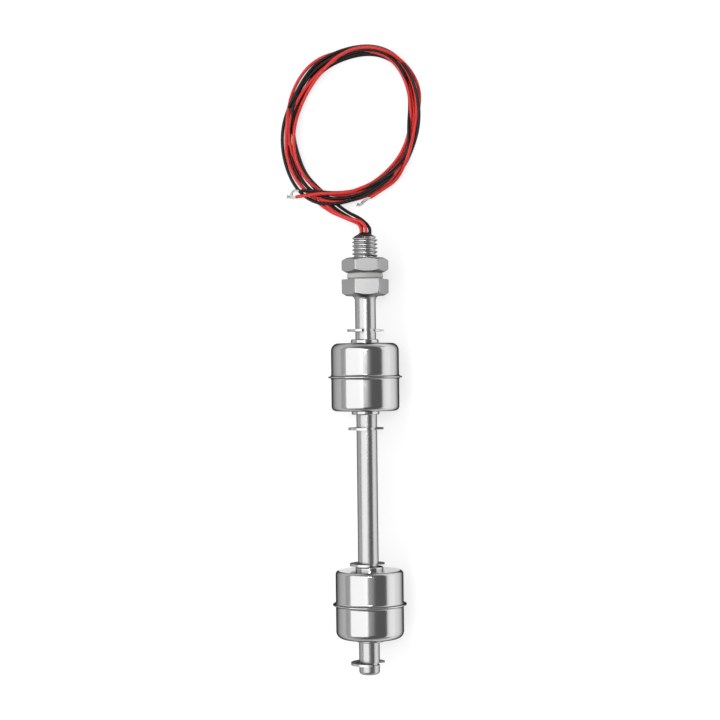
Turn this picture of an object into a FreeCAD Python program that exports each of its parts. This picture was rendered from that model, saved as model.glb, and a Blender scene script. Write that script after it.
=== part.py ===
import FreeCAD, Part
import math
import os

# A stainless two-float level switch, lying on its side as it comes to rest.
# The stem runs along Y: the closed tip is at -Y and the leads leave at +Y. +Z is up.
# Lengths are in millimetres. A "station" is a distance along the stem from its closed tip.

# Stem
STEM_RADIUS = 4.0
STEM_BORE_RADIUS = 3.0
TIP_CORNER_RADIUS = 1.3
PLUG_THICKNESS = 1.8
PLUG_SPIGOT_LENGTH = 2.0
SOCKET_DEPTH = 5.0

# Threaded fitting, with its hexagon turned a little about the stem as in the photograph
HEX_STATION = 146.9
HEX_THICKNESS = 6.4
HEX_ACROSS_FLATS = 16.0
HEX_TURN = 5.0
HEX_FACE_RADIUS = 7.3
HEX_CHAMFER_ANGLE = 30.0
THREAD_RADIUS = 5.0
THREAD_PITCH_RADIUS = 4.51
THREAD_END_STATION = 170.0
THREAD_CHAMFER = 0.9
FITTING_BORE_RADIUS = 3.1
NECK_RADIUS = 5.3
NECK_LENGTH = 1.4

# Seal ring and locknut on the thread
SEAL_THICKNESS = 2.6
SEAL_RADIUS = 7.0
SEAL_EDGE_RADIUS = 0.9
NUT_THICKNESS = 5.7
NUT_CLEARANCE = 0.05
NUT_TURN = 5.3

# Black potting compound in the fitting's mouth, domed round the leads
POTTING_STATION = 156.0
POTTING_SHOULDER_RADIUS = 4.05
POTTING_NECK_RADIUS = 2.6
POTTING_NECK_STATION = 170.8
POTTING_CROWN_RADIUS = 1.6
POTTING_TOP_STATION = 171.6

# Retaining clips: E-shaped, snapped into grooves of the stem.
# The angle of each clip's mouth is counted from straight up towards +X.
CLIP_RADIUS = 7.15
CLIP_BAND_WIDTH = 2.2
CLIP_THICKNESS = 0.9
CLIP_PRONG_WIDTH = 2.6
CLIP_PRONG_ANGLES = (-72.0, 72.0, 180.0)
CLIP_MOUTH_HALF_WIDTH = 2.9
CLIP_MOUTH_HALF_ANGLE = 55.0
GROOVE_RADIUS = 3.5
GROOVE_SIDE_CLEARANCE = 0.05
CLIPS = {
    "upper_float_top_clip": (133.5, 45.0),
    "upper_float_bottom_clip": (95.3, 57.0),
    "lower_float_top_clip": (42.6, 60.0),
    "lower_float_bottom_clip": (4.2, 66.0),
}

# Floats: two drawn half shells welded at a flange, over a bore tube with rolled ends.
# Each has its middle's station, its shift on X within its clearance, and the corner radii of its
# top and bottom shells: one shell is drawn with a rounder corner than the other.
FLOAT_BORE_RADIUS = 4.75
FLOAT_BODY_RADIUS = 13.2
FLOAT_FLANGE_RADIUS = 14.35
FLOAT_FLANGE_HALF_THICKNESS = 0.3
FLOAT_SHELL_THICKNESS = 0.4
FLOAT_RIM_HEIGHT = 13.1
FLOAT_END_HEIGHT = 13.35
FLOAT_FLANGE_FILLET = 0.9
BEAD_RADIUS = 5.4
BEAD_LENGTH = 1.25
BEAD_EDGE_RADIUS = 0.45
MAGNET_RADIUS = 8.0
MAGNET_HALF_HEIGHT = 2.0
MAGNET_HOLDER_WALL = 0.6
FLOATS = {
    "upper_float": (115.4, -0.4, 2.9, 1.8),
    "lower_float": (27.2, 0.4, 1.4, 2.8),
}

# Reed switches: a glass capsule with two overlapping blades, each in an insulating sleeve
GLASS_RADIUS = 1.1
GLASS_HALF_LENGTH = 7.0
GLASS_END_RADIUS = 0.5
GLASS_CAVITY_RADIUS = 0.8
GLASS_CAVITY_HALF_LENGTH = 5.2
BLADE_ROD_RADIUS = 0.25
BLADE_WIDTH = 1.0
BLADE_THICKNESS = 0.2
BLADE_GAP = 0.06
BLADE_OVERLAP = 1.5
REED_SLEEVE_RADIUS = 1.32
REED_SLEEVE_WALL = 0.2
REED_SLEEVE_BELOW = 8.5
REED_SLEEVE_ABOVE = 14.0
RED_WIRE_ABOVE_REED = 12.0
BLACK_WIRE_BELOW_REED = 9.0
HOOK_BELOW_REED = 11.0
HOOK_RADIUS = 0.6
REED_STATIONS = {"upper": 118.4, "lower": 27.5}

# Leads: where each wire runs inside the stem, as (x, z) from the stem's centre
WIRE_RADIUS = 0.65
WIRE_PLACES = {
    ("lower", "red"): (-1.3, 0.65),
    ("lower", "black"): (-0.95, -1.31),
    ("upper", "red"): (0.6, 1.2),
    ("upper", "black"): (2.1, -0.65),
}

# Coil of the four leads on the floor: an oval ring, about two turns of each lead.
# The ring is widest where the leads come in and narrowest opposite.
COIL_CENTRE = (-4.3, 129.3)
COIL_HALF_LENGTH = 30.8
COIL_HALF_WIDTH = 23.9
COIL_TILT = 65.8
COIL_BAND_HALF_WIDTH = 2.9
COIL_BAND_SHIFT = 0.8
COIL_HEIGHT = 3.9
COIL_EDGE_RADIUS = 1.2

# Routes of the leads: straight out of the potting for a rise, then down to the coil on the floor
LEAD_RISES = {
    ("lower", "red"): 1.3,
    ("upper", "red"): 1.3,
    ("lower", "black"): 1.8,
    ("upper", "black"): 1.2,
}
LEAD_ROUTES = {
    ("lower", "red"): [
        (-1.9, 88.7, 14.5), (-3.4, 89.8, 12.9), (-6.3, 91.25, 9.5), (-9.2, 92.8, 5.8),
        (-12.1, 94.3, 2.4), (-15.0, 96.2, 0.8), (-17.8, 98.3, 0.66),
    ],
    ("upper", "red"): [
        (0.1, 88.2, 15.5), (-0.7, 89.3, 15.2), (-1.8, 90.2, 14.9), (-3.8, 90.8, 13.9), (-5.4, 91.2, 12.5),
        (-8.2, 92.5, 9.0), (-11.2, 94.3, 5.4), (-12.8, 95.6, 3.2), (-14.5, 97.2, 2.1), (-16.3, 98.8, 1.0),
    ],
    ("lower", "black"): [
        (-1.5, 89.0, 12.5), (-3.6, 90.7, 10.4), (-6.5, 92.6, 6.6), (-9.5, 94.7, 2.9), (-12.3, 97.0, 0.9),
        (-14.2, 98.8, 0.66),
    ],
    ("upper", "black"): [
        (1.9, 87.6, 13.6), (0.9, 89.1, 13.1), (-0.6, 90.6, 12.0), (-2.2, 91.8, 10.7), (-3.9, 92.8, 9.0),
        (-6.1, 94.1, 6.4), (-9.1, 96.5, 2.6), (-11.2, 98.3, 0.9), (-13.3, 100.2, 0.66),
    ],
}

# Routes of the free tails, from the coil to the end of the insulation, and their tinned tips
TAIL_ROUTES = {
    ("lower", "red"): [
        (-6.3, 102.1, 4.3), (-13.4, 101.9, 4.8), (-17.6, 101.9, 4.8), (-20.5, 101.6, 4.5),
        (-24.6, 101.1, 3.4), (-26.9, 100.9, 2.6),
    ],
    ("lower", "black"): [
        (-6.3, 102.5, 2.9), (-13.4, 102.3, 3.4), (-17.6, 102.85, 3.5), (-20.5, 103.1, 3.5),
        (-23.0, 103.2, 3.5), (-25.6, 103.1, 3.4),
    ],
    ("upper", "red"): [
        (14.1, 109.0, 2.4), (12.0, 106.6, 2.1), (9.8, 105.0, 1.98), (7.0, 103.3, 1.97), (4.5, 101.6, 1.97),
        (2.5, 100.4, 1.95),
    ],
    ("upper", "black"): [
        (13.5, 109.2, 0.9), (11.8, 107.0, 0.66), (9.6, 105.2, 0.66), (6.9, 103.5, 0.66), (4.3, 101.8, 0.66),
        (1.9, 100.3, 0.66),
    ],
}
TIP_RADIUS = 0.4
TIP_LENGTH = 3.5

# Worked-out places
AXIS_HEIGHT = FLOAT_FLANGE_RADIUS
HALF_LENGTH = POTTING_TOP_STATION / 2
SEAL_STATION = HEX_STATION + HEX_THICKNESS
NUT_STATION = SEAL_STATION + SEAL_THICKNESS + NUT_CLEARANCE
FREE_THREAD_STATION = NUT_STATION + NUT_THICKNESS + NUT_CLEARANCE
ALONG = FreeCAD.Vector(0, 1, 0)
UP = FreeCAD.Vector(0, 0, 1)


def place(x, station, z):
    """A point beside the stem: x and z from the stem's centre line, and a station along it."""
    return FreeCAD.Vector(x, station - HALF_LENGTH, AXIS_HEIGHT + z)


def rounded_edges(points, reaches, closed):
    """Straight runs joined by tangent arcs. A reach is how far an arc extends along its two runs."""
    count = len(points)
    corners = []
    for i, point in enumerate(points):
        if reaches[i] == 0:
            corners.append((point, None, point))
            continue
        back = (points[i - 1] - point).normalize()
        ahead = (points[(i + 1) % count] - point).normalize()
        half_angle = back.getAngle(ahead) / 2
        radius = reaches[i] * math.tan(half_angle)
        inward = (back + ahead).normalize()
        middle = point + inward * (radius / math.sin(half_angle) - radius)
        corners.append((point + back * reaches[i], middle, point + ahead * reaches[i]))
    edges = []
    for i, (start, middle, end) in enumerate(corners):
        if middle is not None:
            edges.append(Part.Arc(start, middle, end).toShape())
        if closed or i < count - 1:
            following = corners[(i + 1) % count][0]
            if end.distanceToPoint(following) > 1e-6:
                edges.append(Part.LineSegment(end, following).toShape())
    return edges


def turned(profile, x=0.0, z=0.0):
    """A solid of revolution about a line along Y. The profile lists radius, station and corner radius."""
    points = [place(x + radius, station, z) for radius, station, corner in profile]
    count = len(points)
    reaches = []
    for i, (radius, station, corner) in enumerate(profile):
        back = points[i - 1] - points[i]
        ahead = points[(i + 1) % count] - points[i]
        reaches.append(corner / math.tan(back.getAngle(ahead) / 2))
    face = Part.Face(Part.Wire(rounded_edges(points, reaches, True)))
    return face.revolve(place(x, 0, z), ALONG, 360)


def cylinder(radius, start, end, x=0.0, z=0.0):
    """A round bar along the stem between two stations."""
    return Part.makeCylinder(radius, end - start, place(x, start, z), ALONG)


def hexagon(start, end, turn):
    """A hexagonal prism along the stem, turned about it, with one face up at no turn."""
    corner_radius = HEX_ACROSS_FLATS / math.sqrt(3)
    points = []
    for i in range(7):
        angle = math.radians(60 * i - turn)
        points.append(place(corner_radius * math.cos(angle), start, corner_radius * math.sin(angle)))
    return Part.Face(Part.makePolygon(points)).extrude(ALONG * (end - start))


def chamfered_hexagon(start, end, turn, both_sides):
    """A hexagonal prism whose corners are turned down by a cone at its start, or at both sides."""
    corner_radius = HEX_ACROSS_FLATS / math.sqrt(3)
    depth = (corner_radius - HEX_FACE_RADIUS) * math.tan(math.radians(HEX_CHAMFER_ANGLE))
    profile = [(0, start, 0), (HEX_FACE_RADIUS, start, 0), (corner_radius, start + depth, 0)]
    if both_sides:
        profile += [(corner_radius, end - depth, 0), (HEX_FACE_RADIUS, end, 0), (0, end, 0)]
    else:
        profile += [(corner_radius, end, 0), (0, end, 0)]
    return hexagon(start, end, turn).common(turned(profile))


def threaded_fitting():
    """Hexagon, threaded stub and welding neck, turned from one bar. The free thread has its major diameter.

    Under the seal and the nut the stub has its pitch diameter, as the nut's bore has.
    """
    neck_start = HEX_STATION - NECK_LENGTH
    stub = turned([
        (0, HEX_STATION, 0),
        (THREAD_PITCH_RADIUS, HEX_STATION, 0),
        (THREAD_PITCH_RADIUS, FREE_THREAD_STATION, 0),
        (THREAD_RADIUS, FREE_THREAD_STATION, 0),
        (THREAD_RADIUS, THREAD_END_STATION - THREAD_CHAMFER, 0),
        (THREAD_RADIUS - THREAD_CHAMFER, THREAD_END_STATION, 0),
        (0, THREAD_END_STATION, 0),
    ])
    neck = turned([
        (0, neck_start, 0),
        (STEM_RADIUS + 0.15, neck_start, 0),
        (STEM_RADIUS + 0.35, HEX_STATION - 0.7, 0.5),
        (NECK_RADIUS, HEX_STATION, 0),
        (0, HEX_STATION, 0),
    ])
    body = chamfered_hexagon(HEX_STATION, SEAL_STATION, HEX_TURN, False).fuse([stub, neck])
    socket = cylinder(STEM_RADIUS, neck_start, HEX_STATION + SOCKET_DEPTH)
    bore = cylinder(FITTING_BORE_RADIUS, neck_start, THREAD_END_STATION)
    return body.cut([socket, bore]).removeSplitter()


def stem_tube():
    """The stem's tube, with a groove for each retaining clip."""
    groove_half = CLIP_THICKNESS / 2 + GROOVE_SIDE_CLEARANCE
    profile = [(STEM_BORE_RADIUS, PLUG_THICKNESS, 0), (STEM_RADIUS, PLUG_THICKNESS, 0)]
    for station, mouth_angle in sorted(CLIPS.values()):
        profile += [
            (STEM_RADIUS, station - groove_half, 0),
            (GROOVE_RADIUS, station - groove_half, 0),
            (GROOVE_RADIUS, station + groove_half, 0),
            (STEM_RADIUS, station + groove_half, 0),
        ]
    end = HEX_STATION + SOCKET_DEPTH
    profile += [(STEM_RADIUS, end, 0), (STEM_BORE_RADIUS, end, 0)]
    return turned(profile)


def end_plug():
    """The welded plug that closes the stem, with its rounded outer corner."""
    spigot_end = PLUG_THICKNESS + PLUG_SPIGOT_LENGTH
    return turned([
        (0, 0, 0),
        (STEM_RADIUS, 0, TIP_CORNER_RADIUS),
        (STEM_RADIUS, PLUG_THICKNESS, 0),
        (STEM_BORE_RADIUS, PLUG_THICKNESS, 0),
        (STEM_BORE_RADIUS, spigot_end, 0),
        (0, spigot_end, 0),
    ])


def seal_ring():
    """The soft ring between the hexagon and the locknut."""
    inner = THREAD_PITCH_RADIUS
    top = SEAL_STATION + SEAL_THICKNESS
    return turned([
        (inner, SEAL_STATION, 0),
        (SEAL_RADIUS, SEAL_STATION, SEAL_EDGE_RADIUS),
        (SEAL_RADIUS, top, SEAL_EDGE_RADIUS),
        (inner, top, 0),
    ])


def locknut():
    """The hexagonal nut, with both corners turned down and a running bore over the thread."""
    top = NUT_STATION + NUT_THICKNESS
    body = chamfered_hexagon(NUT_STATION, top, NUT_TURN, True)
    return body.cut(cylinder(THREAD_PITCH_RADIUS + NUT_CLEARANCE, NUT_STATION, top))


def potting(wires):
    """The compound that fills the fitting's bore round the wires and domes over its mouth."""
    body = turned([
        (0, POTTING_STATION, 0),
        (FITTING_BORE_RADIUS, POTTING_STATION, 0),
        (FITTING_BORE_RADIUS, THREAD_END_STATION, 0),
        (POTTING_SHOULDER_RADIUS, THREAD_END_STATION, 0),
        (POTTING_NECK_RADIUS, POTTING_NECK_STATION, 0.4),
        (POTTING_CROWN_RADIUS, POTTING_TOP_STATION, 0),
        (0, POTTING_TOP_STATION, 0),
    ])
    return body.cut(wires)


def retaining_clip(station, mouth_angle):
    """An E-clip: a band with three prongs that reach the groove, and a mouth between two of them."""
    start = station - CLIP_THICKNESS / 2
    end = station + CLIP_THICKNESS / 2
    band_inner = CLIP_RADIUS - CLIP_BAND_WIDTH
    band = cylinder(CLIP_RADIUS, start, end).cut(cylinder(band_inner, start, end))
    prongs = []
    for angle in CLIP_PRONG_ANGLES:
        corner = place(-CLIP_PRONG_WIDTH / 2, start, 0)
        prong = Part.makeBox(CLIP_PRONG_WIDTH, CLIP_THICKNESS, band_inner + CLIP_BAND_WIDTH / 2, corner)
        prong.rotate(place(0, 0, 0), ALONG, angle)
        prongs.append(prong)
    outer_x = 1.4 * CLIP_RADIUS * math.sin(math.radians(CLIP_MOUTH_HALF_ANGLE))
    outer_z = 1.4 * CLIP_RADIUS * math.cos(math.radians(CLIP_MOUTH_HALF_ANGLE))
    outline = [
        (-CLIP_MOUTH_HALF_WIDTH, 0),
        (-CLIP_MOUTH_HALF_WIDTH, 1.3),
        (-outer_x, outer_z),
        (0, 2 * CLIP_RADIUS),
        (outer_x, outer_z),
        (CLIP_MOUTH_HALF_WIDTH, 1.3),
        (CLIP_MOUTH_HALF_WIDTH, 0),
        (-CLIP_MOUTH_HALF_WIDTH, 0),
    ]
    corners = [place(x, start, z) for x, z in outline]
    mouth = Part.Face(Part.makePolygon(corners)).extrude(ALONG * CLIP_THICKNESS)
    clip = band.fuse(prongs).cut([mouth, cylinder(GROOVE_RADIUS, start, end)])
    clip.rotate(place(0, 0, 0), ALONG, mouth_angle)
    return clip.removeSplitter()


def float_shell(middle, offset, side, corner_radius):
    """One drawn half shell, from the welded flange to the hole for the bore tube."""
    wall = FLOAT_SHELL_THICKNESS
    hole = FLOAT_BORE_RADIUS + wall
    profile = [
        (FLOAT_BODY_RADIUS - wall, 0, 0),
        (FLOAT_FLANGE_RADIUS, 0, 0),
        (FLOAT_FLANGE_RADIUS, FLOAT_FLANGE_HALF_THICKNESS, 0.2),
        (FLOAT_BODY_RADIUS, FLOAT_FLANGE_HALF_THICKNESS, FLOAT_FLANGE_FILLET),
        (FLOAT_BODY_RADIUS, FLOAT_RIM_HEIGHT, corner_radius),
        (hole, FLOAT_END_HEIGHT, 0),
        (hole, FLOAT_END_HEIGHT - wall, 0),
        (FLOAT_BODY_RADIUS - wall, FLOAT_RIM_HEIGHT - wall, corner_radius - wall),
    ]
    return turned([(r, middle + side * h, corner) for r, h, corner in profile], offset)


def float_bore_tube(middle, offset):
    """The tube that lines the float's bore. Its ends are rolled outwards over the shells."""
    tube_radius = FLOAT_BORE_RADIUS + FLOAT_SHELL_THICKNESS
    end = FLOAT_END_HEIGHT + BEAD_LENGTH
    profile = []
    for side in (-1, 1):
        half = [
            (tube_radius, FLOAT_END_HEIGHT, 0),
            (BEAD_RADIUS, FLOAT_END_HEIGHT, 0),
            (BEAD_RADIUS, end, BEAD_EDGE_RADIUS),
            (FLOAT_BORE_RADIUS, end, 0),
        ]
        if side == -1:
            half.reverse()
        profile += [(radius, middle + side * h, corner) for radius, h, corner in half]
    return turned(profile, offset)


def float_magnet(middle, offset):
    """The ring magnet at the float's middle."""
    inner = FLOAT_BORE_RADIUS + FLOAT_SHELL_THICKNESS
    bottom = middle - MAGNET_HALF_HEIGHT
    top = middle + MAGNET_HALF_HEIGHT
    return turned([
        (inner, bottom, 0),
        (MAGNET_RADIUS, bottom, 0),
        (MAGNET_RADIUS, top, 0.3),
        (inner, top, 0),
    ], offset)


def float_magnet_holder(middle, offset):
    """The plastic cup that holds the magnet in place on the bore tube."""
    inner = FLOAT_BORE_RADIUS + FLOAT_SHELL_THICKNESS
    outer = MAGNET_RADIUS + MAGNET_HOLDER_WALL
    seat = middle - MAGNET_HALF_HEIGHT
    bottom = seat - MAGNET_HOLDER_WALL
    top = middle + MAGNET_HALF_HEIGHT
    return turned([
        (inner, bottom, 0),
        (outer, bottom, 0.3),
        (outer, top, 0),
        (MAGNET_RADIUS, top, 0),
        (MAGNET_RADIUS, seat, 0),
        (inner, seat, 0),
    ], offset)


def reed_glass(centre, x, z):
    """The glass capsule, sealed round a blade at each end."""
    return turned([
        (BLADE_ROD_RADIUS, centre - GLASS_HALF_LENGTH, 0),
        (GLASS_RADIUS, centre - GLASS_HALF_LENGTH, GLASS_END_RADIUS),
        (GLASS_RADIUS, centre + GLASS_HALF_LENGTH, GLASS_END_RADIUS),
        (BLADE_ROD_RADIUS, centre + GLASS_HALF_LENGTH, 0),
        (BLADE_ROD_RADIUS, centre + GLASS_CAVITY_HALF_LENGTH, 0),
        (GLASS_CAVITY_RADIUS, centre + GLASS_CAVITY_HALF_LENGTH, 0),
        (GLASS_CAVITY_RADIUS, centre - GLASS_CAVITY_HALF_LENGTH, 0),
        (BLADE_ROD_RADIUS, centre - GLASS_CAVITY_HALF_LENGTH, 0),
    ], x, z)


def blade_paddle(centre, x, z, side):
    """The flattened end of a blade, which reaches past the middle of the capsule."""
    root = GLASS_CAVITY_HALF_LENGTH + 0.2
    length = root + BLADE_OVERLAP / 2
    start = centre - root if side < 0 else centre - BLADE_OVERLAP / 2
    lift = BLADE_GAP / 2 if side > 0 else -BLADE_GAP / 2 - BLADE_THICKNESS
    corner = place(x - BLADE_WIDTH / 2, start, z + lift)
    paddle = Part.makeBox(BLADE_WIDTH, length, BLADE_THICKNESS, corner)
    slot = cylinder(GLASS_CAVITY_RADIUS, centre - GLASS_CAVITY_HALF_LENGTH,
                    centre + GLASS_CAVITY_HALF_LENGTH, x, z)
    return paddle.common(slot)


def reed_top_blade(centre, x, z):
    """The upper blade: its lead runs straight up to the red wire."""
    start = centre + GLASS_CAVITY_HALF_LENGTH - 0.3
    rod = cylinder(BLADE_ROD_RADIUS, start, centre + RED_WIRE_ABOVE_REED, x, z)
    return rod.fuse(blade_paddle(centre, x, z, 1)).removeSplitter()


def reed_bottom_blade(centre, x, z, wire_x, wire_z):
    """The lower blade: its lead hooks over to the end of the black wire beside the capsule."""
    points = [
        place(x, centre - GLASS_CAVITY_HALF_LENGTH + 0.3, z),
        place(x, centre - HOOK_BELOW_REED, z),
        place(wire_x, centre - HOOK_BELOW_REED, wire_z),
        place(wire_x, centre - BLACK_WIRE_BELOW_REED, wire_z),
    ]
    lead = tube(points, [0, HOOK_RADIUS, HOOK_RADIUS, 0], BLADE_ROD_RADIUS)
    return lead.fuse(blade_paddle(centre, x, z, -1)).removeSplitter()


def reed_sleeve(centre, x, z):
    """The clear sleeve shrunk over the capsule and the joint above it."""
    start = centre - REED_SLEEVE_BELOW
    end = centre + REED_SLEEVE_ABOVE
    outer = cylinder(REED_SLEEVE_RADIUS, start, end, x, z)
    return outer.cut(cylinder(REED_SLEEVE_RADIUS - REED_SLEEVE_WALL, start, end, x, z))


def tube(points, reaches, radius):
    """A round bar along straight runs joined by tangent arcs."""
    path = Part.Wire(rounded_edges(points, reaches, False))
    section = Part.Wire(Part.Circle(points[0], points[1] - points[0], radius).toShape())
    return path.makePipeShell([section], True, True)


def cord_tube(name, points, radius):
    """A lead's stretch, with each arc as large as its two runs allow. Its radii and volume are printed."""
    runs = [(b - a).Length for a, b in zip(points, points[1:])]
    reaches = [0]
    radii = []
    for i in range(1, len(points) - 1):
        reach = 0.45 * min(runs[i - 1], runs[i])
        turn = math.pi - (points[i - 1] - points[i]).getAngle(points[i + 1] - points[i])
        reaches.append(reach)
        radii.append(reach / math.tan(turn / 2))
    reaches.append(0)
    solid = tube(points, reaches, radius)
    path_length = Part.Wire(rounded_edges(points, reaches, False)).Length
    ratio = solid.Volume / (math.pi * radius ** 2 * path_length)
    words = " ".join("%.1f" % value for value in radii)
    print("%s: length %.1f, radii %s, volume ratio %.3f" % (name, path_length, words, ratio))
    return solid


def oval_face(band, shift):
    """A flat oval on the floor, wider than the coil's middle line by a band and shifted along the oval."""
    tilt = math.radians(COIL_TILT)
    along = FreeCAD.Vector(math.cos(tilt), math.sin(tilt), 0)
    across = FreeCAD.Vector(-math.sin(tilt), math.cos(tilt), 0)
    centre = FreeCAD.Vector(COIL_CENTRE[0], COIL_CENTRE[1], 0) + along * shift
    far = centre + along * (COIL_HALF_LENGTH + band)
    side = centre + across * (COIL_HALF_WIDTH + band)
    return Part.Face(Part.Wire(Part.Ellipse(far, side, centre).toShape()))


def lead_coil():
    """The outer shape of the coil of leads, flat on the floor."""
    outer = oval_face(COIL_BAND_HALF_WIDTH, -COIL_BAND_SHIFT).extrude(UP * COIL_HEIGHT)
    inner = oval_face(-COIL_BAND_HALF_WIDTH, COIL_BAND_SHIFT).extrude(UP * COIL_HEIGHT)
    ring = outer.cut(inner)
    upper_edges = [edge for edge in ring.Edges if edge.BoundBox.ZMin > COIL_HEIGHT - 0.01]
    return ring.makeFillet(COIL_EDGE_RADIUS, upper_edges)


def save(name, shape):
    """Writes one piece to its own file."""
    solid = shape if shape.ShapeType == "Solid" else shape.Solids[0]
    if len(shape.Solids) != 1 or not shape.isValid():
        print("CHECK", name, len(shape.Solids), shape.isValid())
    solid.exportStep("parts/%s.step" % name)


def build_stem():
    """Everything that is fixed to the stem, apart from the leads outside it."""
    wires = []
    for (switch, colour), (x, z) in WIRE_PLACES.items():
        reed = REED_STATIONS[switch]
        bottom = reed + RED_WIRE_ABOVE_REED if colour == "red" else reed - BLACK_WIRE_BELOW_REED
        wire = cylinder(WIRE_RADIUS, bottom, POTTING_TOP_STATION, x, z)
        wires.append(wire)
        save("%s_%s_inner_wire" % (switch, colour), wire)
    save("threaded_fitting", threaded_fitting())
    save("stem_tube", stem_tube())
    save("end_plug", end_plug())
    save("seal_ring", seal_ring())
    save("potting", potting(wires))
    for name, (station, mouth_angle) in CLIPS.items():
        save(name, retaining_clip(station, mouth_angle))


def build_reed_switch(switch):
    """One reed switch, in line with its red wire and hooked to its black one."""
    centre = REED_STATIONS[switch]
    x, z = WIRE_PLACES[(switch, "red")]
    wire_x, wire_z = WIRE_PLACES[(switch, "black")]
    save("%s_reed_glass" % switch, reed_glass(centre, x, z))
    save("%s_reed_top_blade" % switch, reed_top_blade(centre, x, z))
    save("%s_reed_bottom_blade" % switch, reed_bottom_blade(centre, x, z, wire_x, wire_z))
    save("%s_reed_sleeve" % switch, reed_sleeve(centre, x, z))


def build_float(name, middle, offset, top_corner, bottom_corner):
    """One float with all that is welded or fixed inside it."""
    save("%s_top_shell" % name, float_shell(middle, offset, 1, top_corner))
    save("%s_bottom_shell" % name, float_shell(middle, offset, -1, bottom_corner))
    save("%s_bore_tube" % name, float_bore_tube(middle, offset))
    save("%s_magnet" % name, float_magnet(middle, offset))
    save("%s_magnet_holder" % name, float_magnet_holder(middle, offset))


def build_leads():
    """The leads outside the stem: down to the floor, round the coil, and out to their tinned tips."""
    save("lead_coil", lead_coil())
    for (switch, colour), route in LEAD_ROUTES.items():
        name = "%s_%s" % (switch, colour)
        x, z = WIRE_PLACES[(switch, colour)]
        lead_points = [place(x, POTTING_TOP_STATION, z)]
        lead_points.append(lead_points[0] + ALONG * LEAD_RISES[(switch, colour)])
        lead_points += [FreeCAD.Vector(p) for p in route]
        save(name + "_lead", cord_tube(name + "_lead", lead_points, WIRE_RADIUS))
        tail_points = [FreeCAD.Vector(p) for p in TAIL_ROUTES[(switch, colour)]]
        save(name + "_tail", cord_tube(name + "_tail", tail_points, WIRE_RADIUS))
        tip_axis = tail_points[-1] - tail_points[-2]
        save(name + "_tip", Part.makeCylinder(TIP_RADIUS, TIP_LENGTH, tail_points[-1], tip_axis))


os.makedirs("parts", exist_ok=True)
build_stem()
for switch in REED_STATIONS:
    build_reed_switch(switch)
save("locknut", locknut())
for name, (middle, offset, top_corner, bottom_corner) in FLOATS.items():
    build_float(name, middle, offset, top_corner, bottom_corner)
build_leads()
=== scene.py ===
import bpy
import bmesh
import math
import numpy as np
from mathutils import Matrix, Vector


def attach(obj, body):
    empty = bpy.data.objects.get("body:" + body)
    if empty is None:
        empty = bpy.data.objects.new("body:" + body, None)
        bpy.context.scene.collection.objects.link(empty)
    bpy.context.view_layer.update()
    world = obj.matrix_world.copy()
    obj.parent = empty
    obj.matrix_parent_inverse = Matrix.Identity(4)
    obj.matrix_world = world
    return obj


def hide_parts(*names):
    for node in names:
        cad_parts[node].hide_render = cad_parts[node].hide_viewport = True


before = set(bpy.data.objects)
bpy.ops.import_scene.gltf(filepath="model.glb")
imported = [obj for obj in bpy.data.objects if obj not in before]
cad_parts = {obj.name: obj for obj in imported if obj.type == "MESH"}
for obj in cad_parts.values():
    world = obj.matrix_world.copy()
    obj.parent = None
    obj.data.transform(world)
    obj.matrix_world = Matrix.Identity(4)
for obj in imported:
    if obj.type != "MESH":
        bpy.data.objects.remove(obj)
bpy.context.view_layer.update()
MM = 0.001

# Stem: its centre line runs along Y at this height. Stations are counted from its closed tip.
AXIS_HEIGHT = 14.35 * MM
POTTING_TOP = 171.6 * MM
HALF_LENGTH = POTTING_TOP / 2

# Flat end of a float, which takes a lighter copy of the float's steel as painted light: its radius, and how
# squarely its faces look along the stem, where 1 is fully
FLAT_END_RADIUS = 12.0 * MM
FLAT_END_SQUARENESS = 0.98

# Free thread of the fitting, above the locknut
THREAD_START = 161.7 * MM
THREAD_END = 170.0 * MM
THREAD_PITCH = 1.5 * MM
THREAD_RADIUS = 5.0 * MM
THREAD_ROOT_RADIUS = 4.08 * MM
THREAD_CHAMFER = 0.9 * MM
THREAD_ROWS = 112
THREAD_SIDES = 96

# Profile of the thread, in parts of its pitch from the middle of a crest: the end of the crest's flat and
# the start of the root's
CREST_END = 0.0625
ROOT_START = 0.375

# Plain stub that the thread replaces: its faces lie outside this radius, and those of its mouth inside.
# Its first face starts at the thread's start, within the tolerance.
STUB_FACE_RADIUS = 4.2 * MM
STUB_TOLERANCE = 0.01 * MM

# Painted dark reflection on the thread's chamfer, drawn in the black resin: its mean depth, how uneven it
# is, and the side on which it is deepest
PAINTED_REFLECTION_DEPTH = 0.34 * MM
PAINTED_REFLECTION_UNEVENNESS = 0.8
PAINTED_REFLECTION_SIDE = math.radians(150)

# Places of the thread's lighter steel, which is painted light, and of the black resin, which is painted
# dark reflection, on the fitting's mesh, after the fitting's own
THREAD_FACES = 1
PAINTED_REFLECTION_FACES = 2

# Rounding of the long edges of the hexagon and the locknut. Such an edge is longer than the least length
# and lies between two flats, which run along the stem and meet at an angle between the two given.
CORNER_ROUND = 0.4 * MM
CORNER_SEGMENTS = 3
CORNER_LEAST_LENGTH = 2.0 * MM
CORNER_ANGLES = (math.radians(50), math.radians(70))
FLAT_TILT = 0.01
CRISP_ANGLE = math.radians(25)
WELD_DISTANCE = 0.001 * MM

# Leads: the place of each in the potting, as (x, z) in millimetres from the stem's centre line, and how
# far it comes up before it bends
WIRE_RADIUS = 0.65 * MM
WIRE_PLACES = {
    "lower_red": (-1.3, 0.65),
    "lower_black": (-0.95, -1.31),
    "upper_red": (0.6, 1.2),
    "upper_black": (2.1, -0.65),
}
LEAD_RISES = {"lower_red": 1.3, "upper_red": 1.3, "lower_black": 1.8, "upper_black": 1.2}

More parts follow.
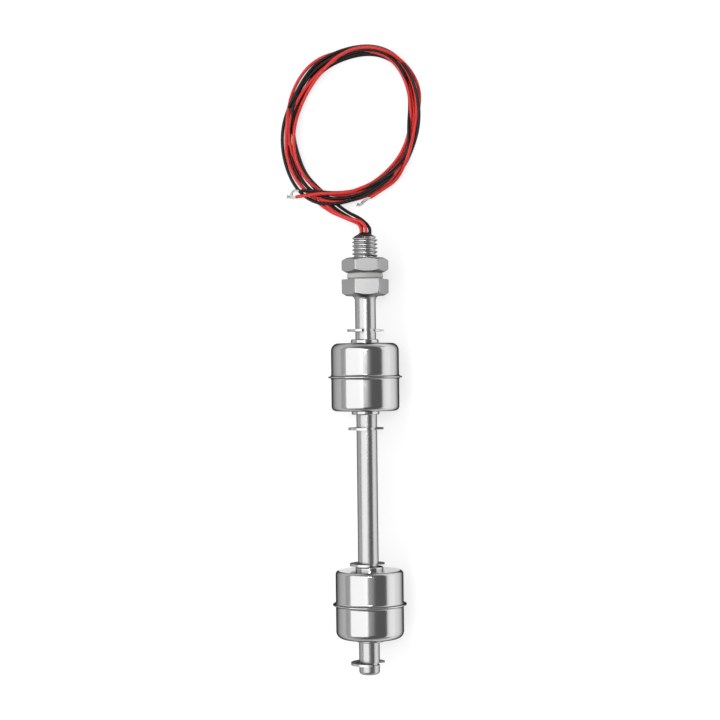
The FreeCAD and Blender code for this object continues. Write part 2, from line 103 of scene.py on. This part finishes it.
# Routes of the leads from the potting to the coil, in millimetres
LEAD_ROUTES = {
    "lower_red": [
        (-1.9, 88.7, 14.5), (-3.4, 89.8, 12.9), (-6.3, 91.25, 9.5), (-9.2, 92.8, 5.8),
        (-12.1, 94.3, 2.4), (-15.0, 96.2, 0.8), (-17.8, 98.3, 0.66),
    ],
    "upper_red": [
        (0.1, 88.2, 15.5), (-0.7, 89.3, 15.2), (-1.8, 90.2, 14.9), (-3.8, 90.8, 13.9), (-5.4, 91.2, 12.5),
        (-8.2, 92.5, 9.0), (-11.2, 94.3, 5.4), (-12.8, 95.6, 3.2), (-14.5, 97.2, 2.1), (-16.3, 98.8, 1.0),
    ],
    "lower_black": [
        (-1.5, 89.0, 12.5), (-3.6, 90.7, 10.4), (-6.5, 92.6, 6.6), (-9.5, 94.7, 2.9), (-12.3, 97.0, 0.9),
        (-14.2, 98.8, 0.66),
    ],
    "upper_black": [
        (1.9, 87.6, 13.6), (0.9, 89.1, 13.1), (-0.6, 90.6, 12.0), (-2.2, 91.8, 10.7), (-3.9, 92.8, 9.0),
        (-6.1, 94.1, 6.4), (-9.1, 96.5, 2.6), (-11.2, 98.3, 0.9), (-13.3, 100.2, 0.66),
    ],
}

# Routes of the free tails from the coil to the end of the insulation, in millimetres
TAIL_ROUTES = {
    "lower_red": [
        (-6.3, 102.1, 4.3), (-13.4, 101.9, 4.8), (-17.6, 101.9, 4.8), (-20.5, 101.6, 4.5),
        (-24.6, 101.1, 3.4), (-26.9, 100.9, 2.6),
    ],
    "lower_black": [
        (-6.3, 102.5, 2.9), (-13.4, 102.3, 3.4), (-17.6, 102.85, 3.5), (-20.5, 103.1, 3.5),
        (-23.0, 103.2, 3.5), (-25.6, 103.1, 3.4),
    ],
    "upper_red": [
        (14.1, 109.0, 2.4), (12.0, 106.6, 2.1), (9.8, 105.0, 1.98), (7.0, 103.3, 1.97), (4.5, 101.6, 1.97),
        (2.5, 100.4, 1.95),
    ],
    "upper_black": [
        (13.5, 109.2, 0.9), (11.8, 107.0, 0.66), (9.6, 105.2, 0.66), (6.9, 103.5, 0.66), (4.3, 101.8, 0.66),
        (1.9, 100.3, 0.66),
    ],
}

# Routes of the bare tinned ends, in millimetres
TIP_ROUTES = {
    "lower_red": [
        (-26.6, 100.95, 2.7), (-27.6, 100.7, 2.3), (-28.6, 100.7, 1.9), (-29.6, 101.0, 1.6),
        (-30.4, 101.2, 1.4),
    ],
    "lower_black": [
        (-25.3, 103.1, 3.4), (-26.4, 103.5, 3.3), (-27.4, 103.5, 3.1), (-28.2, 103.0, 2.9),
        (-28.7, 102.2, 2.8), (-28.7, 101.5, 2.7),
    ],
    "upper_red": [
        (2.8, 100.6, 1.9), (1.7, 100.0, 1.7), (0.6, 99.5, 1.4), (-0.4, 98.9, 1.1), (-0.9, 98.4, 0.9),
    ],
    "upper_black": [
        (2.2, 100.5, 0.66), (1.0, 99.5, 0.6), (-0.3, 98.6, 0.5), (-1.2, 97.8, 0.5), (-2.0, 97.5, 0.5),
        (-2.8, 97.9, 0.6),
    ],
}

# Strands of a tinned end, in millimetres: one in the middle and a ring round it, which turns by the twist
# from point to point and splays at the end, some strands more than others
OUTER_STRANDS = 6
STRAND_RADIUS = 0.16
STRAND_RING = 0.3
STRAND_TWIST = 1.3
TIP_SPLAYS = {"lower_red": 0.35, "lower_black": 0.25, "upper_red": 0.3, "upper_black": 0.3}
SPLAY_UNEVENNESS = 0.5

# Coil: an oval on the floor, in millimetres. Its turns run clockwise from the place where the leads come
# in, and a turn has twelve hours.
COIL_CENTRE = (-4.3, 129.3)
COIL_HALF_LENGTH = 30.8
COIL_HALF_WIDTH = 23.9
COIL_TILT = math.radians(65.8)
COIL_START = math.radians(-120)
COIL_HOUR = math.radians(30)

# Each turn of each lead, at the twelve hours of the clock from the coil's start: how far it lies
# outside the oval in millimetres, and its rank, which says what lies on what where they cross.
TURNS = {
    "lower_red": [
        (1.9, 0.2), (0.9, 0.2), (1.3, 0.2), (0.9, 0.2), (0.9, 0.3), (0.4, 0.6),
        (0.6, 0.6), (0.5, 0.6), (0.2, 0.6), (0.4, 0.6), (1.3, 0.8), (0.6, 1.4),
        (1.6, 3.0), (1.6, 3.0), (1.0, 3.0), (3.1, 1.0), (3.6, 1.0), (0.0, 0.9),
        (-0.9, 1.2), (-2.1, 3.0), (-1.8, 3.5), (-1.6, 3.5), (-2.4, 4.6), (-2.7, 6.0),
    ],
    "upper_red": [
        (0.5, 0.3), (-1.0, 2.0), (0.4, 2.8), (-0.5, 0.3), (-1.2, 0.3), (-0.8, 0.3),
        (-0.6, 0.3), (-1.0, 0.3), (-0.7, 0.3), (-0.9, 0.3), (-1.6, 0.3), (-1.7, 1.0),
        (-1.7, 4.0), (-1.8, 4.0), (-2.1, 4.0), (-2.3, 3.2), (-1.8, 5.0), (0.0, 5.0),
        (0.9, 5.0), (2.7, 3.3), (0.2, 2.4), (1.3, 5.5), (4.0, 5.5), (4.0, 5.5),
    ],
    "lower_black": [
        (-1.4, 0.1), (-3.1, 0.4), (-1.2, 0.1), (-0.9, 0.1), (-0.3, 0.1), (-1.4, 0.4),
        (0.3, 0.1), (0.5, 0.1), (1.4, 0.1), (0.8, 0.1), (-0.5, 0.9), (-0.7, 2.0),
        (0.2, 2.2), (-0.1, 2.2), (-0.4, 2.2), (0.9, 2.4), (0.5, 3.0), (-0.8, 3.0),
        (-0.1, 4.2), (-1.9, 2.2), (-2.5, 4.0), (0.5, 4.2), (-0.9, 3.6), (-2.7, 4.0),
    ],
    "upper_black": [
        (-2.6, 0.0), (-3.2, 0.0), (-1.5, 0.0), (-1.9, 0.0), (-1.5, 0.0), (-2.2, 0.0),
        (-0.7, 0.0), (0.1, 0.0), (0.3, 0.0), (1.5, 0.0), (0.4, 1.0), (0.6, 3.1),
        (3.6, 3.4), (2.9, 2.4), (2.6, 2.0), (1.4, 2.5), (2.1, 3.1), (1.0, 4.1),
        (1.5, 4.1), (0.9, 4.3), (1.5, 4.3), (1.8, 4.1), (3.0, 3.0), (3.0, 3.0),
    ],
}

# Hours at which the coil begins, and at which each lead leaves it for its tail
COIL_BEGINNING = 0.2
COIL_ENDS = {"lower_red": 22.7, "lower_black": 22.6, "upper_red": 21.4, "upper_black": 21.4}

# Stacking of the coil: fine steps in an hour, steps from one control point to the next, steps on each
# side over which a height is evened out, hours of itself that a lead doesn't rest on, and samples in each
# stretch of the routes that come down to the coil
FINE_STEPS = 15
STEPS_PER_POINT = 5
EVENING_STEPS = 5
OWN_HOURS = 3
SAMPLES_PER_STRETCH = 6

# Fineness of the wires and strands, along and round them
CURVE_STEPS = 5
CURVE_ROUND_STEPS = 4

# Steels: brightness, roughness, depth of the turning marks, and tone of the shine at the edges. A tone
# below 1 is painted shade: it darkens the reflection at grazing edges into dark outlines.
STEELS = {
    # The floats' wall and flat end are shaded and lit copies of one steel: the end is painted lighter and
    # has no painted dark edges.
    "float_wall_steel_painted_dark_edges": (0.37, 0.16, 0.12, 0.05),
    "float_end_steel_painted_lighter": (0.5, 0.2, 0.12, 1.0),
    "clip_steel": (0.42, 0.25, 0.2, 0.1),
    "stem_steel": (0.34, 0.27, 0.2, 0.05),
    "fitting_steel": (0.31, 0.3, 0.3, 0.2),
    "nut_steel": (0.32, 0.42, 0.3, 0.3),
    # The thread is a lighter copy of the fitting's steel: painted light that offsets the shade its flanks
    # cast on each other.
    "thread_steel_painted_lighter": (0.46, 0.35, 0.2, 0.3),
    "tinned_copper": (0.5, 0.4, 0.3, 1.0),
}

# Surface of the steels: the noise of the turning marks on each axis, their fineness and height, the noise
# of the patches, and how far tone and roughness vary with them
TURNING_SCALES = (300.0, 9000.0, 300.0)
TURNING_DETAIL = 3.0
TURNING_HEIGHT = 0.02 * MM
STEEL_PATCH_SCALE = 60.0
STEEL_TONE_CHANGES = (-0.02, 0.02)
STEEL_SHINE_CHANGES = (-0.02, 0.03)

# Plastics: colour, roughness and gloss
PLASTICS = {
    "seal_silicone": ((0.42, 0.43, 0.42), 0.5, 0.3),
    "potting_resin": ((0.008, 0.008, 0.008), 0.5, 0.2),
    "red_insulation": ((0.62, 0.022, 0.018), 0.38, 0.35),
    "black_insulation": ((0.006, 0.005, 0.005), 0.4, 0.22),
}

# Surface of the plastics: the noise of the patches, their darkest part of the colour, how far roughness
# varies with them, and their relief's strength and height
PLASTIC_PATCH_SCALE = 250.0
PLASTIC_DARKEST = 0.85
PLASTIC_SHINE_CHANGES = (-0.04, 0.04)
PLASTIC_RELIEF = 0.15
PLASTIC_RELIEF_HEIGHT = 0.03 * MM

# Floor: its size in metres, its tone, and its glow to the camera and in the metal, which rises between two
# places on X. The even glow is the white backdrop. Its rise towards +X is painted light: a brighter pool on
# the floor's right side that paints a brighter reflection on the right of the metal and lifts the object's
# shadow there.
FLOOR_SIZE = 6.0
FLOOR_TONE = 0.38
FLOOR_ROUGHNESS = 0.9
FLOOR_GLOW_AND_PAINTED_LIGHT = (0.63, 1.4)
PAINTED_LIGHT_RISE = (0.014, 0.04)

# Lamps, in metres and watts: place, sides along and across the stem, power, and the place that it faces.
# A large soft box is high on the left, a low one is on the right, and a small lamp is above the fitting.
LAMPS = {
    "soft_box_left": ((-0.64, 0.04, 0.85), (1.4, 1.25), 12.5, (0.0, 0.04, 0.0)),
    "soft_box_right": ((1.0, 0.04, 0.28), (1.6, 0.58), 3.7, (0.0, 0.04, 0.0)),
    "lamp_above_fitting": ((0.0, 0.27, 1.5), (0.24, 0.24), 5.0, (0.0, 0.07, 0.0)),
}

# Room: its brightness by the upward part of the direction, from the horizon to straight above
ROOM_TONES = [(0.0, 0.8), (0.3, 0.8), (0.5, 0.2), (0.94, 0.22), (1.0, 0.8)]

# Camera, measured from the photograph: straight above the table and turned a little
CAMERA_PLACE = (-2.33 * MM, 36.2 * MM, 714.35 * MM)
CAMERA_TURN = math.radians(-0.67)
CAMERA_LENS = 90.1
CAMERA_CLIP_START = 0.01
SENSOR_WIDTH = 36.0


def grey(value):
    """An opaque grey."""
    return (value, value, value, 1.0)


def material(name):
    """A new node material, its Principled shader and its node tree."""
    made = bpy.data.materials.new(name)
    made.use_nodes = True
    tree = made.node_tree
    return made, tree.nodes["Principled BSDF"], tree


def noise(tree, scale, detail=4.0, stretch=None):
    """A noise texture in object coordinates, stretched along the axes if asked."""
    place = tree.nodes.new("ShaderNodeTexCoord")
    texture = tree.nodes.new("ShaderNodeTexNoise")
    texture.inputs["Scale"].default_value = scale
    texture.inputs["Detail"].default_value = detail
    source = place.outputs["Object"]
    if stretch is not None:
        mapping = tree.nodes.new("ShaderNodeMapping")
        mapping.inputs["Scale"].default_value = stretch
        tree.links.new(source, mapping.inputs["Vector"])
        source = mapping.outputs["Vector"]
    tree.links.new(source, texture.inputs["Vector"])
    return texture


def ramp(tree, source, low, high):
    """Turns a 0 to 1 value into a blend of two colours or greys."""
    blend = tree.nodes.new("ShaderNodeValToRGB")
    blend.color_ramp.elements[0].color = low
    blend.color_ramp.elements[1].color = high
    tree.links.new(source, blend.inputs["Fac"])
    return blend.outputs["Color"]


def varied(tree, patches, value, changes):
    """A value that varies from its lower to its higher change with the patches of a noise."""
    low, high = (grey(value + change) for change in changes)
    return ramp(tree, patches.outputs["Fac"], low, high)


def bump(tree, shader, source, strength, distance):
    """Small relief on a shader's surface."""
    relief = tree.nodes.new("ShaderNodeBump")
    relief.inputs["Strength"].default_value = strength
    relief.inputs["Distance"].default_value = distance
    tree.links.new(source, relief.inputs["Height"])
    tree.links.new(relief.outputs["Normal"], shader.inputs["Normal"])


def steel(name):
    """A steel with fine turning marks round the stem and patches of shine, whose shine at the edges is
    darkened by its edge tone as painted shade.
    """
    brightness, roughness, grain, edge = STEELS[name]
    made, shader, tree = material(name)
    shader.inputs["Metallic"].default_value = 1.0
    # Painted shade: an edge tone below 1 darkens the reflection at grazing edges into dark outlines.
    shader.inputs["Specular Tint"].default_value = grey(edge)
    marks = noise(tree, 1.0, TURNING_DETAIL, TURNING_SCALES)
    patches = noise(tree, STEEL_PATCH_SCALE)
    colour = varied(tree, patches, brightness, STEEL_TONE_CHANGES)
    tree.links.new(colour, shader.inputs["Base Color"])
    shine = varied(tree, patches, roughness, STEEL_SHINE_CHANGES)
    tree.links.new(shine, shader.inputs["Roughness"])
    bump(tree, shader, marks.outputs["Fac"], grain, TURNING_HEIGHT)
    return made


def plastic(name):
    """A smooth insulation or plastic with a slight unevenness of colour and shine."""
    colour, roughness, gloss = PLASTICS[name]
    made, shader, tree = material(name)
    shader.inputs["Specular IOR Level"].default_value = gloss
    patches = noise(tree, PLASTIC_PATCH_SCALE)
    dark = tuple(PLASTIC_DARKEST * value for value in colour) + (1.0,)
    tint = ramp(tree, patches.outputs["Fac"], dark, colour + (1.0,))
    tree.links.new(tint, shader.inputs["Base Color"])
    shine = varied(tree, patches, roughness, PLASTIC_SHINE_CHANGES)
    tree.links.new(shine, shader.inputs["Roughness"])
    bump(tree, shader, patches.outputs["Fac"], PLASTIC_RELIEF, PLASTIC_RELIEF_HEIGHT)
    return made


def finish(names, made):
    """Gives a material to CAD nodes."""
    for name in names:
        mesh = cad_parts[name].data
        mesh.materials.clear()
        mesh.materials.append(made)


def dress_metal(resin_and_painted_reflection):
    """Materials of the floats, clips, stem, fitting and nut. The black resin is painted on the thread's end
    too, as a dark reflection.
    """
    # Shaded and lit copies of the float steel: the wall with painted dark edges, the flat end painted
    # lighter.
    wall = steel("float_wall_steel_painted_dark_edges")
    flat = steel("float_end_steel_painted_lighter")
    for which in ("upper_float", "lower_float"):
        finish([which + "_bore_tube"], wall)
        for shell in ("_top_shell", "_bottom_shell"):
            finish([which + shell], wall)
            float_shell(which, which + shell, wall, flat)
    clip = steel("clip_steel")
    for end in ("_top_clip", "_bottom_clip"):
        finish(["upper_float" + end, "lower_float" + end], clip)
    finish(["stem_tube", "end_plug"], steel("stem_steel"))
    fitting = steel("fitting_steel")
    nut = steel("nut_steel")
    finish(["threaded_fitting"], fitting)
    finish(["locknut"], nut)
    # The thread takes a lighter copy of the fitting's steel as painted light.
    threaded_fitting(fitting, steel("thread_steel_painted_lighter"), resin_and_painted_reflection)
    locknut(nut)


def dress_plastic(resin_and_painted_reflection):
    """Materials of the seal and the potting."""
    finish(["seal_ring"], plastic("seal_silicone"))
    finish(["potting"], resin_and_painted_reflection)


def from_axis(place):
    """How far a place is from the stem's centre line."""
    return math.hypot(place.x, place.z - AXIS_HEIGHT)


def stand_in(name, mesh, node, body, replaced):
    """Puts a finer mesh in the place of a CAD node."""
    made = bpy.data.objects.new(name, mesh)
    made.matrix_world = node.matrix_world
    bpy.context.scene.collection.objects.link(made)
    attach(made, body)
    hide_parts(replaced)


def float_shell(body, name, wall, flat):
    """A float's half shell whose flat end takes a lighter copy of its steel without dark edges, as painted
    light, while its drawn wall and its flange keep the painted dark edges.
    """
    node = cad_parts[name]
    mesh = node.data.copy()
    mesh.materials.clear()
    mesh.materials.append(wall)
    mesh.materials.append(flat)
    for face in mesh.polygons:
        inside = from_axis(node.matrix_world @ face.center) < FLAT_END_RADIUS
        face.material_index = int(inside and abs(face.normal.y) > FLAT_END_SQUARENESS)
    stand_in(name + "_drawn", mesh, node, body, name)


def shape_of(node):
    """An editable copy of a CAD node's mesh."""
    shape = bmesh.new()
    shape.from_mesh(node.data)
    return shape


def mesh_from(shape, name, *materials):
    """A mesh with an edited shape and these materials."""
    mesh = bpy.data.meshes.new(name)
    shape.to_mesh(mesh)
    shape.free()
    for made in materials:
        mesh.materials.append(made)
    return mesh


def is_corner(edge):
    """Whether an edge is one of the six long edges of a hexagon."""
    if len(edge.link_faces) != 2 or edge.calc_length() < CORNER_LEAST_LENGTH:
        return False
    first, second = (face.normal for face in edge.link_faces)
    flats = abs(first.y) < FLAT_TILT and abs(second.y) < FLAT_TILT
    return flats and CORNER_ANGLES[0] < first.angle(second) < CORNER_ANGLES[1]


def round_corners(shape):
    """Rounds the six long edges of a hexagon, and keeps its other edges crisp."""
    bmesh.ops.remove_doubles(shape, verts=shape.verts, dist=WELD_DISTANCE)
    corners = [edge for edge in shape.edges if is_corner(edge)]
    bmesh.ops.bevel(shape, geom=corners, offset=CORNER_ROUND, segments=CORNER_SEGMENTS, profile=0.5,
                    affect="EDGES")
    for edge in shape.edges:
        edge.smooth = len(edge.link_faces) == 2 and edge.calc_face_angle() < CRISP_ANGLE


def locknut(made):
    """The locknut with its corners rounded."""
    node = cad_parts["locknut"]
    shape = shape_of(node)
    round_corners(shape)
    mesh = mesh_from(shape, "rounded_nut", made)
    stand_in("rounded_nut", mesh, node, "nut", "locknut")


def thread_station(row):
    """The station of a row of points on the thread."""
    return THREAD_START + (THREAD_END - THREAD_START) * row / THREAD_ROWS


def thread_radius(turn, station):
    """The thread's radius at a station and a part of a turn, with its end chamfered."""
    phase = ((station - THREAD_START) / THREAD_PITCH - turn) % 1.0
    from_crest = abs(phase - 0.5)
    height = min(1.0, max(0.0, (ROOT_START - from_crest) / (ROOT_START - CREST_END)))
    radius = THREAD_ROOT_RADIUS + height * (THREAD_RADIUS - THREAD_ROOT_RADIUS)
    return min(radius, THREAD_RADIUS - THREAD_CHAMFER + THREAD_END - station)


def in_painted_reflection(angle, station):
    """Whether a place on the thread lies under the painted dark reflection in the black resin."""
    return THREAD_END - station < PAINTED_REFLECTION_DEPTH * (1 + PAINTED_REFLECTION_UNEVENNESS * math.cos(angle - PAINTED_REFLECTION_SIDE))


def remove_plain_stub(shape, to_world):
    """Takes the faces of the plain free stub away."""
    plain = []
    for face in shape.faces:
        centre = to_world @ face.calc_center_median()
        free = centre.y + HALF_LENGTH > THREAD_START - STUB_TOLERANCE
        if free and from_axis(centre) > STUB_FACE_RADIUS:
            plain.append(face)
    bmesh.ops.delete(shape, geom=plain, context="FACES")


def add_thread(shape, to_local):
    """Adds the cut thread's surface, in the lighter thread steel as painted light, or in the black resin as
    painted dark reflection near its end.
    """
    angles = [2 * math.pi * side / THREAD_SIDES for side in range(THREAD_SIDES)]
    rings = []
    for row in range(THREAD_ROWS + 1):
        station = thread_station(row)
        ring = []
        for side, angle in enumerate(angles):
            radius = thread_radius(side / THREAD_SIDES, station)
            x = radius * math.cos(angle)
            z = AXIS_HEIGHT + radius * math.sin(angle)
            ring.append(shape.verts.new(to_local @ Vector((x, station - HALF_LENGTH, z))))
        rings.append(ring)
    for row, (low, high) in enumerate(zip(rings, rings[1:])):
        station = thread_station(row + 0.5)
        for side, angle in enumerate(angles):
            after = (side + 1) % THREAD_SIDES
            face = shape.faces.new((low[side], high[side], high[after], low[after]))
            face.smooth = True
            face.material_index = PAINTED_REFLECTION_FACES if in_painted_reflection(angle, station) else THREAD_FACES


def threaded_fitting(made, thread, resin_and_painted_reflection):
    """The fitting's solid, with a cut thread in place of its plain free stub."""
    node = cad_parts["threaded_fitting"]
    shape = shape_of(node)
    remove_plain_stub(shape, node.matrix_world)
    round_corners(shape)
    add_thread(shape, node.matrix_world.inverted())
    mesh = mesh_from(shape, "cut_fitting", made, thread, resin_and_painted_reflection)
    stand_in("cut_fitting", mesh, node, "stem", "threaded_fitting")


def eased(values, hour):
    """A smooth curve through the values at whole hours."""
    i = min(int(hour), len(values) - 1)
    part = hour - i
    a, b, c, d = (np.array(values[min(max(i + k, 0), len(values) - 1)]) for k in (-1, 0, 1, 2))
    return 0.5 * (2 * b + (c - a) * part + (2 * a - 5 * b + 4 * c - d) * part ** 2
                  + (3 * b - 3 * c + d - a) * part ** 3)


def coil_place(hour, outside):
    """The floor place of a coil point, in millimetres."""
    angle = COIL_START - COIL_HOUR * hour
    along = math.cos(angle - COIL_TILT) / COIL_HALF_LENGTH
    across = math.sin(angle - COIL_TILT) / COIL_HALF_WIDTH
    radius = 1 / math.hypot(along, across) + outside
    return COIL_CENTRE[0] + radius * math.cos(angle), COIL_CENTRE[1] + radius * math.sin(angle)


def lead_samples():
    """Points every millimetre or less along the routes from the potting to the coil."""
    samples = []
    for route in LEAD_ROUTES.values():
        for start, end in zip(route, route[1:]):
            for i in range(SAMPLES_PER_STRETCH):
                samples.append(Vector(start).lerp(Vector(end), i / SAMPLES_PER_STRETCH))
    return samples


def coil_samples():
    """The rank, lead, hour and place of every fine step along the coil, from the lowest rank up."""
    samples = []
    for name, hours in TURNS.items():
        count = round((COIL_ENDS[name] - COIL_BEGINNING) * FINE_STEPS)
        for i in range(count + 1):
            hour = COIL_BEGINNING + i / FINE_STEPS
            outside, rank = eased(hours, hour)
            samples.append((rank, name, hour, coil_place(hour, outside)))
    return sorted(samples)


def stacked_samples():
    """Each lead's places and heights by the hour. Each rests on the floor, or on what lies under it."""
    radius = WIRE_RADIUS / MM
    diameter = 2 * radius
    under = lead_samples()
    places = [(point.x, point.y) for point in under]
    heights = [point.z for point in under]
    owners = [("", 0.0)] * len(under)
    stacked = {name: {} for name in TURNS}
    for rank, name, hour, place in coil_samples():
        gaps = np.hypot(*(np.array(places) - place).T)
        apart = np.array([owner != name or abs(hour - when) > OWN_HOURS for owner, when in owners])
        near = (gaps < diameter) & apart
        height = radius
        if near.any():
            height = max(height, (np.array(heights)[near] + np.sqrt(diameter ** 2 - gaps[near] ** 2)).max())
        places.append(place)
        heights.append(height)
        owners.append((name, hour))
        stacked[name][hour] = (place, height)
    return stacked


def coil_points():
    """The coil's control points for each lead, with their heights evened out."""
    points = {}
    for name, stacked in stacked_samples().items():
        ordered = [stacked[hour] for hour in sorted(stacked)]
        line = []
        for i in range(0, len(ordered), STEPS_PER_POINT):
            window = [height for place, height in ordered[max(0, i - EVENING_STEPS):i + EVENING_STEPS + 1]]
            line.append(ordered[i][0] + (max(WIRE_RADIUS / MM, sum(window) / len(window)),))
        points[name] = line
    return points


def add_spline(curve, points):
    """A smooth line with these control points, in metres."""
    spline = curve.splines.new("NURBS")
    spline.points.add(len(points) - 1)
    for control, point in zip(spline.points, points):
        control.co = (*point, 1.0)
    spline.order_u = 3
    spline.use_endpoint_u = True


def smooth_curve(name, points, radius):
    """A round bar along a smooth line with these control points, in metres."""
    curve = bpy.data.curves.new(name, "CURVE")
    curve.dimensions = "3D"
    curve.bevel_depth = radius
    curve.bevel_resolution = CURVE_ROUND_STEPS
    curve.use_fill_caps = True
    curve.resolution_u = CURVE_STEPS
    add_spline(curve, points)
    made = bpy.data.objects.new(name, curve)
    bpy.context.scene.collection.objects.link(made)
    return made


def strand_points(line, i, splay):
    """The points of one strand of a tinned end, in metres. The last strand is the middle one."""
    points = []
    for k, point in enumerate(line):
        along = (line[min(k + 1, len(line) - 1)] - line[max(k - 1, 0)]).normalized()
        side = along.cross(Vector((0, 0, 1))).normalized()
        lift = side.cross(along)
        part = k / (len(line) - 1)
        loose = splay * (1 + SPLAY_UNEVENNESS * math.sin(5 * i)) * part ** 3
        ring = 0 if i == OUTER_STRANDS else STRAND_RING + loose
        angle = 2 * math.pi * i / OUTER_STRANDS + STRAND_TWIST * k
        strand = point + side * (ring * math.cos(angle)) + lift * (ring * math.sin(angle))
        strand.z = max(strand.z, STRAND_RADIUS)
        points.append(strand * MM)
    return points


def tinned_tip(name, route, splay):
    """The bare end of a lead: tinned strands, twisted together and loose at the end."""
    line = [Vector(point) for point in route]
    tip = smooth_curve(name, strand_points(line, 0, splay), STRAND_RADIUS * MM)
    for i in range(1, OUTER_STRANDS + 1):
        add_spline(tip.data, strand_points(line, i, splay))
    return tip


def leads():
    """The four leads, each from the potting through the coil to its tinned tip."""
    insulations = {colour: plastic(colour + "_insulation") for colour in ("red", "black")}
    tin = steel("tinned_copper")
    coils = coil_points()
    for name, route in LEAD_ROUTES.items():
        colour = name.split("_")[1]
        finish([name + "_inner_wire"], insulations[colour])
        x, z = WIRE_PLACES[name]
        start = Vector((x, (POTTING_TOP - HALF_LENGTH) / MM, z + AXIS_HEIGHT / MM))
        rise = start + Vector((0, LEAD_RISES[name], 0))
        points = [start, rise] + [Vector(point) for point in route + coils[name] + TAIL_ROUTES[name]]
        wire = smooth_curve(name + "_wire", [point * MM for point in points], WIRE_RADIUS)
        wire.data.materials.append(insulations[colour])
        tip = tinned_tip(name + "_strands", TIP_ROUTES[name], TIP_SPLAYS[name])
        tip.data.materials.append(tin)
        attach(wire, "stem")
        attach(tip, "stem")
        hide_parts(name + "_lead", name + "_tail", "lead_coil")
        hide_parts(name + "_tip")


def combined(tree, operation, first, second):
    """The result of a mathematical operation on two outputs."""
    node = tree.nodes.new("ShaderNodeMath")
    node.operation = operation
    tree.links.new(first, node.inputs[0])
    tree.links.new(second, node.inputs[1])
    return node.outputs["Value"]


def floor_glow_and_painted_light(tree):
    """The table's glow to rays that see it straight, in metal or through glass. It lights nothing. It is
    even on the left and rises towards +X into painted light, a brighter floor side that paints a brighter
    reflection in the metal.
    """
    path = tree.nodes.new("ShaderNodeLightPath")
    seen = combined(tree, "MAXIMUM", path.outputs["Is Camera Ray"], path.outputs["Is Glossy Ray"])
    seen = combined(tree, "MAXIMUM", seen, path.outputs["Is Transmission Ray"])
    place = tree.nodes.new("ShaderNodeTexCoord")
    across = tree.nodes.new("ShaderNodeSeparateXYZ")
    tree.links.new(place.outputs["Object"], across.inputs["Vector"])
    # Painted light: the glow rises from the backdrop's even level to a brighter pool on the floor's right
    # side.
    rise = tree.nodes.new("ShaderNodeMapRange")
    rise.interpolation_type = "SMOOTHSTEP"
    for socket, value in zip(("From Min", "From Max", "To Min", "To Max"), PAINTED_LIGHT_RISE + FLOOR_GLOW_AND_PAINTED_LIGHT):
        rise.inputs[socket].default_value = value
    tree.links.new(across.outputs["X"], rise.inputs["Value"])
    return combined(tree, "MULTIPLY", seen, rise.outputs["Result"])


def floor():
    """The white table, which keeps the object's shadow. Its glow is brighter on its right side as painted
    light.
    """
    bpy.ops.mesh.primitive_plane_add(size=FLOOR_SIZE)
    made = bpy.context.object
    made.name = "table_top"
    surface, shader, tree = material("table_white_with_painted_light")
    shader.inputs["Base Color"].default_value = grey(FLOOR_TONE)
    shader.inputs["Roughness"].default_value = FLOOR_ROUGHNESS
    shader.inputs["Emission Color"].default_value = grey(1.0)
    tree.links.new(floor_glow_and_painted_light(tree), shader.inputs["Emission Strength"])
    made.data.materials.append(surface)


def lamp(name, place, size, power, target):
    """A soft rectangular lamp that faces a place on the table. Its first side is along the stem."""
    light = bpy.data.lights.new(name, "AREA")
    light.shape = "RECTANGLE"
    light.size = size[0]
    light.size_y = size[1]
    light.energy = power
    made = bpy.data.objects.new(name, light)
    made.location = place
    made.rotation_euler = (Vector(target) - Vector(place)).to_track_quat("-Z", "Y").to_euler()
    bpy.context.scene.collection.objects.link(made)


def room():
    """The grey room round the table, which the metal mirrors."""
    world = bpy.data.worlds.new("room")
    world.use_nodes = True
    tree = world.node_tree
    direction = tree.nodes.new("ShaderNodeTexCoord")
    parts = tree.nodes.new("ShaderNodeSeparateXYZ")
    tree.links.new(direction.outputs["Generated"], parts.inputs["Vector"])
    tones = ramp(tree, parts.outputs["Z"], grey(ROOM_TONES[0][1]), grey(ROOM_TONES[-1][1]))
    for height, tone in ROOM_TONES[1:-1]:
        tones.node.color_ramp.elements.new(height).color = grey(tone)
    tree.links.new(tones, tree.nodes["Background"].inputs["Color"])
    bpy.context.scene.world = world


def camera():
    """The photograph's camera."""
    view = bpy.data.cameras.new("camera")
    view.lens = CAMERA_LENS
    view.sensor_width = SENSOR_WIDTH
    view.clip_start = CAMERA_CLIP_START
    made = bpy.data.objects.new("camera", view)
    made.location = CAMERA_PLACE
    made.rotation_euler = (0, 0, CAMERA_TURN)
    bpy.context.scene.collection.objects.link(made)
    bpy.context.scene.camera = made


bpy.context.scene.view_settings.view_transform = "Standard"
camera()
for lamp_name, settings in LAMPS.items():
    lamp(lamp_name, *settings)
room()
floor()
# The black resin is the potting's own colour, and is also painted on the thread's chamfer as a dark
# reflection.
black_resin_and_painted_reflection = plastic("potting_resin")
dress_metal(black_resin_and_painted_reflection)
dress_plastic(black_resin_and_painted_reflection)
leads()
